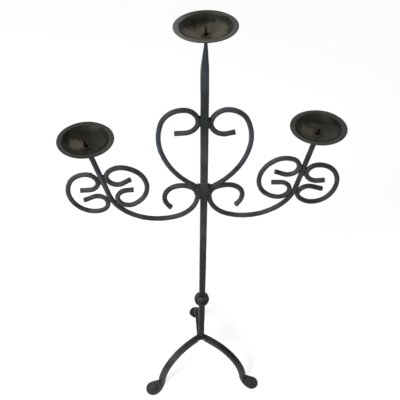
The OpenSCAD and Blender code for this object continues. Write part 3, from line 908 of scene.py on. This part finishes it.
class CANDLESTAND_OT_legs(Operator):
    """Forge the three arched legs with their flattened feet"""
    bl_idname = "candle_stand.legs"
    bl_label = "Legs"

    def execute(self, context):
        sizes = context.scene.candle_stand_sizes
        for index, leg in enumerate(LEGS):
            self.add_leg(sizes, leg, 11.0 + index)
        return {"FINISHED"}

    def add_leg(self, sizes, leg, seed):
        """One leg, from the face of the post to the edge of its foot."""
        name, azimuth, face, run, foot_reach, foot_share, start, foot_stray, leg_stray = leg
        bar = sizes.leg_side / MM / 2
        flat = sizes.foot_thickness / MM / 2
        foot_half = sizes.foot / MM / 2 * foot_share

        def foot_width(reach):
            """Half width of the leg and the near half of its foot, at a distance from the post."""
            share = min(1.0, max(0.0, (reach - start) / (foot_reach - start)))
            return bar + (foot_half - bar) * sin(pi / 2 * share)

        def foot_height(reach):
            """Half thickness, drawn down from the bar to the flat foot."""
            return blend(reach - run, ((FOOT_THIN[0], bar), (FOOT_THIN[1], flat)))

        def foot_dome(reach):
            """How far the upper side is rounded."""
            return blend(reach, ((DOME_START + run, 0.0), (foot_reach - 6.0, DOME)))

        def stray(reach):
            """How far the leg and its foot are off their line."""
            return blend(reach, ((STRAY_ENDS[0], leg_stray), (STRAY_ENDS[1], leg_stray / 4),
                                 (foot_reach, foot_stray)))

        radius, bend = LEG_ARCH
        moves = [(radius + run * sin(radians(LEG_RISE)) / LEG_FALL, bend)]
        if run > 0.0:
            moves.insert(0, (0, run))
        places = track((0.0, LEG_ROOT_Z, LEG_RISE), moves, -1, 2.0)
        stations = [(place, bar, bar, 0.0, stray(place[0])) for place in places]
        for place in track(places[-1], [LEG_TOE], 1, 1.0)[1:]:
            under = place[0] + bar * sin(radians(place[2]))
            stations.append((place, foot_height(under), foot_width(under), foot_dome(under),
                             stray(place[0])))
        heel = stations[-1][0][0]
        near = [(reach, None) for reach in between(heel, foot_reach, 8)]
        far = [(foot_reach + foot_half * sin(radians(turn)), radians(turn)) for turn in FOOT_TURNS]
        for reach, turn in near + far:
            width = foot_width(reach) if turn is None else foot_half * cos(turn)
            high = foot_height(reach) * min(1.0, 0.5 + 0.5 * width / FOOT_EDGE)
            stations.append(((reach, bar, 0.0), high, width, foot_dome(reach), stray(reach)))
        outline = square_outline(LEG_ARRIS)
        rings = []
        for (reach, z, heading), half_up, half_across, domed, shift in stations:
            turn = radians(heading)
            normal = Vector((-sin(turn), 0.0, cos(turn)))
            origin = Vector((reach, shift, z)) - normal * (bar - half_up)
            rings.append(ring(origin, normal, half_up, half_across, domed_outline(outline, domed)))
        bm = bmesh.new()
        draw_out(bm, outline, rings)
        bmesh.ops.rotate(bm, verts=bm.verts, matrix=Matrix.Rotation(radians(azimuth), 3, "Z"))
        normal = Matrix.Rotation(radians(face), 3, "Z") @ Vector((1.0, 0.0, 0.0))
        spot = normal * (sizes.leg_side / 2 - ROOT_BITE * MM)
        cut = bmesh.ops.bisect_plane(bm, geom=bm.verts[:] + bm.edges[:] + bm.faces[:], dist=TOUCHING,
                                     plane_co=spot, plane_no=normal, clear_inner=True)
        sawn = [item for item in cut["geom_cut"] if isinstance(item, bmesh.types.BMEdge)]
        bmesh.ops.edgeloop_fill(bm, edges=sawn)
        bmesh.ops.recalc_face_normals(bm, faces=bm.faces)
        hammer(bm, sizes.hammer * 1.4, length=0.012, seed=seed)
        for vert in bm.verts:
            vert.co.z = max(vert.co.z, 0.0)
        add_piece(bm, "forged_leg_" + name, "leg_" + name, "black_iron_leg_" + name)


class CANDLESTAND_OT_heart(Operator):
    """Bend the two halves of the heart"""
    bl_idname = "candle_stand.heart"
    bl_label = "Heart"

    def execute(self, context):
        spacing = context.scene.candle_stand_sizes.ring_step / MM
        for side in (LEFT, RIGHT):
            name = SIDE_NAMES[side]
            start = (REACH, HEART_Z[side], 90.0)
            places = both_ways(start, HEART_CURL[side], HEART_SIDE[side], -1, spacing)
            halves = rod_halves(len(places), HEART_STOUT[side], (1.03, 0.9))
            add_rod("heart_rod_" + name, "heart_scroll_" + name, "black_iron_heart_" + name, side,
                    21.0 + side, places, halves, (0.7, 0.0))
        return {"FINISHED"}


class CANDLESTAND_OT_arms(Operator):
    """Bend the two arms, with a curl beside the post and a spike above the pan"""
    bl_idname = "candle_stand.arms"
    bl_label = "Arms"

    def execute(self, context):
        sizes = context.scene.candle_stand_sizes
        spacing = sizes.ring_step / MM
        neck = sizes.neck / MM / 2
        for side in (LEFT, RIGHT):
            name = SIDE_NAMES[side]
            half = sizes.rod / MM / 2 * ARM_STOUT[side]
            start = (REACH, ARM_Z[side], -90.0)
            places = both_ways(start, ARM_CURL[side], ARM_SWOOP[side], 1, spacing)
            foot = places[-1]
            straight = STEM[side] - TAPER_LENGTH
            places += track(foot, [(0, straight)], 1, spacing)[1:]
            upset, reach, bevel = ARM_TIP[side]
            halves = [half * (1.0 + upset * max(0.0, 1.0 - i / reach)) for i in range(len(places))]
            for share in between(0.0, 1.0, 7):
                places.append(step(foot, (0, straight + TAPER_LENGTH * share), 1))
                halves.append(blend(share, ((0.0, half), (1.0, neck))))
            soots = [0.0] * len(places)
            for up, width in spike_stations(sizes):
                places.append(step(foot, (0, STEM[side] + up), 1))
                halves.append(width)
                soots.append(1.0)
            add_rod("arm_rod_" + name, "arm_" + name, "black_iron_arm_" + name, side, 31.0 + side,
                    places, halves, (bevel, 0.0), 0.4, soots)
        return {"FINISHED"}


class CANDLESTAND_OT_scrolls(Operator):
    """Bend the four C-scrolls beside the stems"""
    bl_idname = "candle_stand.scrolls"
    bl_label = "C-scrolls"

    def execute(self, context):
        spacing = context.scene.candle_stand_sizes.ring_step / MM
        kinds = (("outer", 1, OUTER_DROP, OUTER_LOOP, OUTER_TAIL),
                 ("inner", -1, INNER_DROP, INNER_LOOP, INNER_TAIL))
        for kind, out, drop, loop, tail in kinds:
            for side in (LEFT, RIGHT):
                name = SIDE_NAMES[side]
                start = beside_stem(side, drop[side], out)
                places = both_ways(start, tail[side], loop[side], -out, spacing)
                halves = rod_halves(len(places), SCROLL_STOUT[kind][side], (1.04, 1.04))
                add_rod(f"{kind}_c_{name}", f"{kind}_scroll_{name}", SCROLL_FINISH[kind][side], side,
                        41.0 + side + out, places, halves, (0.7, 0.7))
        return {"FINISHED"}


# The unevenness of a beaten pan, in metres: the radius where it starts and the width over which it
# sets in, the radius where its waves are full, and the length and depth of its waves and dents.
BEAT_START, BEAT_FADE = 0.010, 0.008
BEAT_EDGE = 0.045
WAVE_LENGTH, WAVE_DEPTH = 0.030, 0.00030
DENT_LENGTH, DENT_DEPTH = 0.009, 0.00007
# Soot on a washer: how far it reaches and over what width it fades, in millimetres, how strongly it
# comes in patches, and their size in metres.
SOOT_REACH, SOOT_FADE = 5.2, 1.6
SOOT_PATCHY, SOOT_PATCH = 2.2, 0.0035


def spin_profile(bm, points, steps=112):
    """Spins a closed outline of (radius, height) in millimetres round the Z axis."""
    verts = [bmesh.ops.create_vert(bm, co=(r * MM, 0.0, z * MM))["vert"][0] for r, z in points]
    edges = [bm.edges.new((verts[i - 1], verts[i])) for i in range(len(verts))]
    bmesh.ops.spin(bm, geom=verts + edges, cent=(0, 0, 0), axis=(0, 0, 1), dvec=(0, 0, 0),
                   angle=tau, steps=steps, use_merge=True, use_duplicate=False)
    bmesh.ops.remove_doubles(bm, verts=bm.verts, dist=TOUCHING)


def pan_top_height(radius, bowl_r, bowl_h, brim_rise, edge_r, seat_r):
    """Height of a pan's upper face above its floor, before the bend at the brim is rounded."""
    if radius <= seat_r:
        return 0.0
    if radius >= bowl_r:
        return bowl_h + brim_rise * (radius - bowl_r) / (edge_r - bowl_r)
    centre = (bowl_r * bowl_r - seat_r * seat_r + bowl_h * bowl_h) / (2 * bowl_h)
    dish = hypot(seat_r, centre)
    return centre - sqrt(dish * dish - radius * radius)


def lay_on_seat(bm, name, x, z, sheet):
    """Leans a pan or its washer as the real one does, and lays it on its seat."""
    right_up, back_up, wide = PAN_LEAN[name]
    bmesh.ops.scale(bm, verts=bm.verts, vec=(wide, 1.0, 1.0))
    lean = Matrix.Rotation(radians(-right_up), 3, "Y") @ Matrix.Rotation(radians(back_up), 3, "X")
    bmesh.ops.rotate(bm, verts=bm.verts, cent=(0, 0, 0), matrix=lean)
    bmesh.ops.translate(bm, verts=bm.verts, vec=(x * MM, 0.0, z * MM + sheet))


class CANDLESTAND_OT_pans(Operator):
    """Dish the three pans, with their brims"""
    bl_idname = "candle_stand.pans"
    bl_label = "Pans"

    def execute(self, context):
        sizes = context.scene.candle_stand_sizes
        edge_r = sizes.pan / MM / 2
        bowl_r = edge_r - sizes.brim / MM
        sheet = sizes.sheet / MM
        hole = sizes.neck / MM / 2 + CLEARANCE
        brim_rise = 0.6
        bowl_h = sizes.pan_depth / MM - brim_rise
        seat_r = 8.5

        def height(radius):
            """Upper face with the bend at the brim and at the seat rounded."""
            bend = 1.1
            samples = [radius + bend * share for share in (-1.0, -0.6, -0.2, 0.2, 0.6, 1.0)]
            return sum(pan_top_height(r, bowl_r, bowl_h, brim_rise, edge_r, seat_r)
                       for r in samples) / len(samples)

        radii = [hole, 5.0, 7.5] + [seat_r + 1.25 * i for i in range(23)]
        radii += [36.6, 37.2, 37.8, 38.4, 39.0, 40.0, 41.2, 42.4, 43.6, edge_r - LIP]
        top, under = [], []
        for r in radii:
            slope = (height(r + 0.05) - height(r - 0.05)) / 0.1
            length = hypot(1.0, slope)
            top.append((r, height(r)))
            under.append((max(hole, r + sheet * slope / length), height(r) - sheet / length))
        under[0] = (hole, -sheet)
        lip_r, lip_z = edge_r - sheet / 2, height(edge_r - LIP) - sheet / 2
        lip = [(lip_r + sheet / 2 * cos(radians(a)), lip_z + sheet / 2 * sin(radians(a)))
               for a in (-60, -30, 0, 30, 60)]
        for index, (name, (x, z, _heading)) in enumerate(seats()):
            bm = bmesh.new()
            spin_profile(bm, under + lip + list(reversed(top)))
            self.beat(bm, 61.0 + index)
            lay_on_seat(bm, name, x, z, sizes.sheet)
            add_piece(bm, "dished_pan_" + name, "pan_" + name, "pan_paint_" + name)
        return {"FINISHED"}

    def beat(self, bm, seed):
        """Leaves the sheet a little uneven, by the same amount on both its faces."""
        for vert in bm.verts:
            flat = Vector((vert.co.x, vert.co.y, 0.0))
            out = flat.length / BEAT_EDGE
            wave = noise.noise(flat / WAVE_LENGTH + Vector((seed, 0.0, 0.0)))
            dent = noise.noise(flat / DENT_LENGTH + Vector((0.0, seed, 0.0)))
            free = min(1.0, max(0.0, (flat.length - BEAT_START) / BEAT_FADE))
            vert.co.z += free * (WAVE_DEPTH * wave * out + DENT_DEPTH * dent)


class CANDLESTAND_OT_washers(Operator):
    """Lay a washer on each pan's floor, under its spike"""
    bl_idname = "candle_stand.washers"
    bl_label = "Washers"

    def execute(self, context):
        sizes = context.scene.candle_stand_sizes
        outer, hole, thick = sizes.washer / MM / 2, sizes.neck / MM / 2 + CLEARANCE, WASHER_THICK
        profile = [(hole, 0.05), (outer - 0.25, 0.0), (outer - 0.05, 0.12), (outer, 0.4), (outer, 0.95),
                   (outer - 0.12, 1.3), (outer - 0.45, 1.52), (outer - 1.0, thick), (5.5, thick),
                   (4.0, thick), (hole + 0.4, thick), (hole + 0.1, thick - 0.1), (hole, thick - 0.35)]
        for index, (name, (x, z, _heading)) in enumerate(seats()):
            bm = bmesh.new()
            spin_profile(bm, profile, 56)
            hammer(bm, 0.00006, length=0.004, seed=71.0 + index)
            soot = bm.verts.layers.float.new("soot")
            for vert in bm.verts:
                out = hypot(vert.co.x, vert.co.y) / MM
                patch = noise.noise(vert.co / SOOT_PATCH + Vector((index * 5.0, 0.0, 0.0)))
                vert[soot] = min(1.0, max(0.0, (SOOT_REACH - out) / SOOT_FADE + SOOT_PATCHY * patch))
            lay_on_seat(bm, name, x, z, sizes.sheet)
            add_piece(bm, "punched_washer_" + name, "washer_" + name, "sooty_washer")
        return {"FINISHED"}


# Voxel of the welds' skin, and the depth and size of its lumps, in metres.
WELD_VOXEL = 0.00042
WELD_LUMPS = (0.00042, 0.0021)


def weld_metal(name, beads, seed, node, material="weld_painted"):
    """Runs beads of weld [x, y, z, radius] in millimetres together into one lumpy skin."""
    bm = bmesh.new()
    for i, (x, y, z, radius) in enumerate(beads):
        made = bmesh.ops.create_icosphere(bm, subdivisions=3, radius=radius * MM)["verts"]
        lean = Vector((seed, i * 1.7, 0.0))
        squash = (1.0 + 0.2 * noise.noise(lean), 1.0 + 0.2 * noise.noise(lean * 1.9), 1.0)
        bmesh.ops.scale(bm, verts=made, vec=squash)
        bmesh.ops.translate(bm, verts=made, vec=(x * MM, y * MM, z * MM))
    draft = bpy.data.meshes.new(name + "_draft")
    bm.to_mesh(draft)
    bm.free()
    holder = bpy.data.objects.new(name + "_draft", draft)
    bpy.context.scene.collection.objects.link(holder)
    remesh = holder.modifiers.new("Run together", "REMESH")
    remesh.mode = "VOXEL"
    remesh.voxel_size = WELD_VOXEL
    shown = holder.evaluated_get(bpy.context.evaluated_depsgraph_get())
    fused = bpy.data.meshes.new_from_object(shown)
    bm = bmesh.new()
    bm.from_mesh(fused)
    bpy.data.objects.remove(holder)
    bpy.data.meshes.remove(draft)
    bpy.data.meshes.remove(fused)
    for _turn in range(3):
        bmesh.ops.smooth_vert(bm, verts=bm.verts, factor=0.5, use_axis_x=True, use_axis_y=True,
                              use_axis_z=True)
    hammer(bm, *WELD_LUMPS, seed)
    add_piece(bm, name, node, material)


def on_both_faces(beads):
    """Beads on the front of a joint, and the same ones behind it."""
    return beads + [(x, -y, z, r) for x, y, z, r in beads if y != 0.0]


class CANDLESTAND_OT_welds(Operator):
    """Run the welds between the bars and round the necks"""
    bl_idname = "candle_stand.welds"
    bl_label = "Welds"

    def execute(self, context):
        self.heart_top()
        self.heart_foot()
        self.leg_roots()
        for side in (LEFT, RIGHT):
            self.scroll_welds(side)
        for index, (name, place) in enumerate(seats()):
            self.pan_ring(name, place, 91.0 + index)
        return {"FINISHED"}

    def heart_top(self):
        """Short bridges between the heart's curls and the post."""
        beads = []
        for side in (LEFT, RIGHT):
            for i, rise in enumerate((-4.2, -1.7, 0.9, 3.5, 6.0)):
                wide = 2.7 if i % 2 else 3.1
                z = HEART_Z[side] + rise
                beads.append((SIDE_SIGNS[side] * 7.4, -2.9, z, wide))
                beads.append((SIDE_SIGNS[side] * 8.0, 2.9, z, wide))
        weld_metal("heart_top_weld", beads, 81.0, "heart_top_welds")

    def heart_foot(self):
        """The large lump where the arms and the heart's foot meet the post."""
        front = [(-9, -2.5, 577, 4), (-8, -4, 583, 4.2), (-11, -4, 590, 5), (-13.5, -2.8, 596, 4.6),
                 (-7.5, -4.8, 593, 3.9), (-8, -3.5, 599, 4.2), (-13, -1.5, 601.5, 3.4),
                 (-3.5, -4.9, 600, 2.5), (-4.2, -5.1, 594.5, 2.8), (-3.4, -4.9, 588, 2.6),
                 (0.2, -4.8, 597.5, 2.4), (0.4, -5.0, 591.5, 2.5), (-0.4, -4.8, 585.5, 2.3),
                 (3.8, -4.8, 600, 2.3), (4.2, -4.9, 594, 2.5), (4.0, -4.8, 588, 2.3), (6.6, -4.2, 591, 2.8),
                 (9.5, -3, 592, 4.2), (12, -2.4, 597, 4.0), (8.5, -3, 598, 4), (9.5, -2, 583, 3.4),
                 (9, -1.6, 576, 3.0), (13.5, -1, 601, 3.2), (9, -2, 602.5, 3.0), (-8.5, -2, 603.5, 3.0)]
        front += [(-3.2, -4.9, 605.5, 2.4), (0.6, -4.9, 603.5, 2.4), (3.9, -4.8, 605, 2.2),
                  (-3.2, -5.3, 610.5, 2.2), (0.8, -5.2, 608.5, 2.2), (3.9, -5.2, 610, 2.0)]
        spots = [(-1, -6.0, 579, 0.9), (3, -6.0, 582, 0.8), (1.5, -6.0, 611, 0.8), (-5, -6.0, 577, 0.8)]
        weld_metal("heart_foot_weld", on_both_faces(front) + spots, 82.0, "heart_foot_welds", "weld_scale")

    def leg_roots(self):
        """Fillets where the legs leave the post, and the web in their fork."""
        beads = [(0.0, -5.8, 109.8, 3.2), (0.3, -6.3, 107.6, 2.0), (-1.0, -6.4, 114.0, 2.6),
                 (2.0, -6.0, 116.5, 2.4), (3.4, -6.0, 119.0, 1.9), (8.0, -3.2, 118.4, 2.5)]
        for _name, azimuth, *_rest in LEGS:
            turn = radians(azimuth)
            along = Vector((cos(turn), sin(turn)))
            aside = Vector((-along.y, along.x))
            fillets = [(8.2, 0.0, 116.2, 3.0)]
            for out, off, z, radius in ((7.6, 3.2, 116.4, 2.6), (7.4, 5.2, 112.0, 2.2),
                                        (7.4, 4.9, 108.4, 1.7)):
                fillets += [(out, off, z, radius), (out, -off, z, radius)]
            for out, off, z, radius in fillets:
                spot = along * out + aside * off
                beads.append((spot.x, spot.y, z, radius))
        weld_metal("leg_root_weld", beads, 83.0, "leg_welds")

    def scroll_welds(self, side):
        """The welds of both C-scrolls to one stem and its arm."""
        sign, name = SIDE_SIGNS[side], SIDE_NAMES[side]
        beads = []
        for out, drop in ((1, OUTER_DROP[side]), (-1, INNER_DROP[side])):
            for rise in (-5.4, -1.8, 1.9, 5.6):
                x, z, heading = beside_stem(side, drop, out / 2)
                turn = radians(heading)
                x, z = x + rise * cos(turn), z + rise * sin(turn)
                beads += [(sign * x, -1.5, z, 2.5), (sign * x, 1.5, z, 2.5)]
        if side == LEFT:
            beads.append((-187.8, -1.0, 643.2, 2.2))
        weld_metal("upper_scroll_weld_" + name, beads, 84.0 + side, "upper_scroll_welds_" + name)
        beads = []
        for x, z in LOWER_WELDS[side]:
            beads += [(sign * x, -1.6, z, 3.6), (sign * x, 1.6, z, 3.6),
                      (sign * (x + 1.8), -0.6, z + 1.6, 2.88), (sign * (x - 1.8), 0.4, z - 1.4, 2.88)]
        weld_metal("lower_scroll_weld_" + name, beads, 86.0 + side, "lower_scroll_welds_" + name)

    def pan_ring(self, name, place, seed):
        """A ring of weld round a neck, under its pan."""
        x, z, _heading = place
        beads = [(x, 0.0, z - 1.8, 3.0)]
        for i in range(9):
            turn = tau * i / 9
            beads.append((x + 3.5 * cos(turn), 3.5 * sin(turn), z - 0.9, 1.9 + 0.25 * sin(5 * i)))
        weld_metal("pan_neck_weld_" + name, beads, seed, "pan_weld_" + name)


# ---- stage ----

FLOOR_REACH = 60.0
LAMP_PLACE = Vector((-1.4, -1.2, 2.2))
LAMP_AIM = Vector((0.0, 0.0, 0.55))


class CANDLESTAND_OT_stage(Operator):
    """Lay the floor and set up the soft light and the camera"""
    bl_idname = "candle_stand.stage"
    bl_label = "Stage"

    def execute(self, context):
        scene = context.scene
        settings = scene.candle_stand_stage
        self.add_floor(scene)
        self.add_lamp(scene, settings)
        self.add_world(scene, settings)
        self.add_camera(scene, settings)
        scene.view_settings.view_transform = "Standard"
        return {"FINISHED"}

    def add_floor(self, scene):
        """A wide pale floor that keeps the stand's shadow."""
        bm = bmesh.new()
        bmesh.ops.create_grid(bm, x_segments=2, y_segments=2, size=FLOOR_REACH)
        mesh = bpy.data.meshes.new("studio_floor")
        bm.to_mesh(mesh)
        bm.free()
        floor = bpy.data.objects.new("studio_floor", mesh)
        scene.collection.objects.link(floor)
        net, shader = new_finish("floor_paint", 0.2)
        seen = net.put("LightPath")
        shown = net.joined("MAXIMUM", seen["Is Camera Ray"], seen["Is Glossy Ray"])
        shown = net.joined("MAXIMUM", shown, seen["Is Transmission Ray"])
        paleness = net.spread(net.vector("LENGTH", net.place), 1.5, 6.0, 0.62, 0.85)
        net.feed(shader, {"Base Color": scene.candle_stand_finish.floor, "Roughness": 0.8,
                          "Emission Color": (1.0, 1.0, 1.0),
                          "Emission Strength": net.times(shown, paleness)})
        mesh.materials.append(bpy.data.materials["floor_paint"])

    def add_lamp(self, scene, settings):
        """A large soft lamp."""
        lamp = bpy.data.lights.new("key_light", "AREA")
        lamp.shape = "DISK"
        lamp.size = 1.0
        lamp.energy = settings.key_power
        key = bpy.data.objects.new("key_light", lamp)
        key.location = LAMP_PLACE
        key.rotation_euler = (LAMP_AIM - LAMP_PLACE).to_track_quat("-Z", "Y").to_euler()
        scene.collection.objects.link(key)

    def add_world(self, scene, settings):
        """Light from all round, brighter behind the stand, and white to the camera."""
        world = bpy.data.worlds.new("studio_air")
        scene.world = world
        world.use_nodes = True
        net = NodeNet(world.node_tree, "Generated")
        across, back, up = net.split(net.place)
        glow = net.times(net.spread(back, -0.2, 0.75), net.spread(up, 0.85, 0.3), 0.7)
        open_sky = net.times(net.spread(across, -1.0, 1.0, 1.4, 0.6), settings.sky)
        level = net.put("Mix", {0: net.put("LightPath")["Is Camera Ray"],
                                2: net.plus(glow, open_sky), 3: 1.0}, data_type="FLOAT")[0]
        background = net.put("Background", {"Color": (1.0, 1.0, 1.0), "Strength": level})[0]
        net.feed(net.tree.nodes.new("ShaderNodeOutputWorld"), {"Surface": background})

    def add_camera(self, scene, settings):
        """The camera at the photograph's place and angle."""
        lens = bpy.data.cameras.new("photo_camera")
        lens.sensor_width = 36.0
        lens.lens = settings.lens
        lens.clip_start = 0.01
        camera = bpy.data.objects.new("photo_camera", lens)
        scene.collection.objects.link(camera)
        turn, tilt, roll = settings.camera_turn
        pose = (Matrix.Rotation(turn, 4, "Z") @ Matrix.Rotation(tilt, 4, "X")
                @ Matrix.Rotation(roll, 4, "Z"))
        camera.matrix_world = Matrix.Translation(settings.camera_place) @ pose
        scene.camera = camera


# ---- add-on ----

STEPS = (
    CANDLESTAND_OT_finishes, CANDLESTAND_OT_post, CANDLESTAND_OT_ball, CANDLESTAND_OT_legs,
    CANDLESTAND_OT_heart, CANDLESTAND_OT_arms, CANDLESTAND_OT_scrolls, CANDLESTAND_OT_pans,
    CANDLESTAND_OT_washers, CANDLESTAND_OT_welds, CANDLESTAND_OT_stage,
)
SETTINGS = {
    "candle_stand_sizes": CandleStandSizes, "candle_stand_finish": CandleStandFinish,
    "candle_stand_stage": CandleStandStage,
}


class CANDLESTAND_PT_panel(Panel):
    """Lists the steps that build the stand"""
    bl_idname = "CANDLESTAND_PT_panel"
    bl_label = "Candle stand"
    bl_space_type = "VIEW_3D"
    bl_region_type = "UI"
    bl_category = "Candle stand"

    def draw(self, context):
        column = self.layout.column()
        for operator in STEPS:
            column.operator(operator.bl_idname)
        for name in SETTINGS:
            group = getattr(context.scene, name)
            for label in group.bl_rna.properties.keys():
                if label not in ("rna_type", "name"):
                    column.prop(group, label)


CLASSES = (*SETTINGS.values(), *STEPS, CANDLESTAND_PT_panel)


def register():
    """Makes the classes and their settings known."""
    for item in CLASSES:
        bpy.utils.register_class(item)
    for name, group in SETTINGS.items():
        setattr(bpy.types.Scene, name, PointerProperty(type=group))


def unregister():
    """Takes the classes and their settings away again."""
    for name in SETTINGS:
        delattr(bpy.types.Scene, name)
    for item in reversed(CLASSES):
        bpy.utils.unregister_class(item)


def main():
    """Builds the stand and its stage."""
    register()
    for operator in STEPS:
        getattr(bpy.ops.candle_stand, operator.bl_idname.split(".")[1])()


if __name__ == "__main__":
    main()
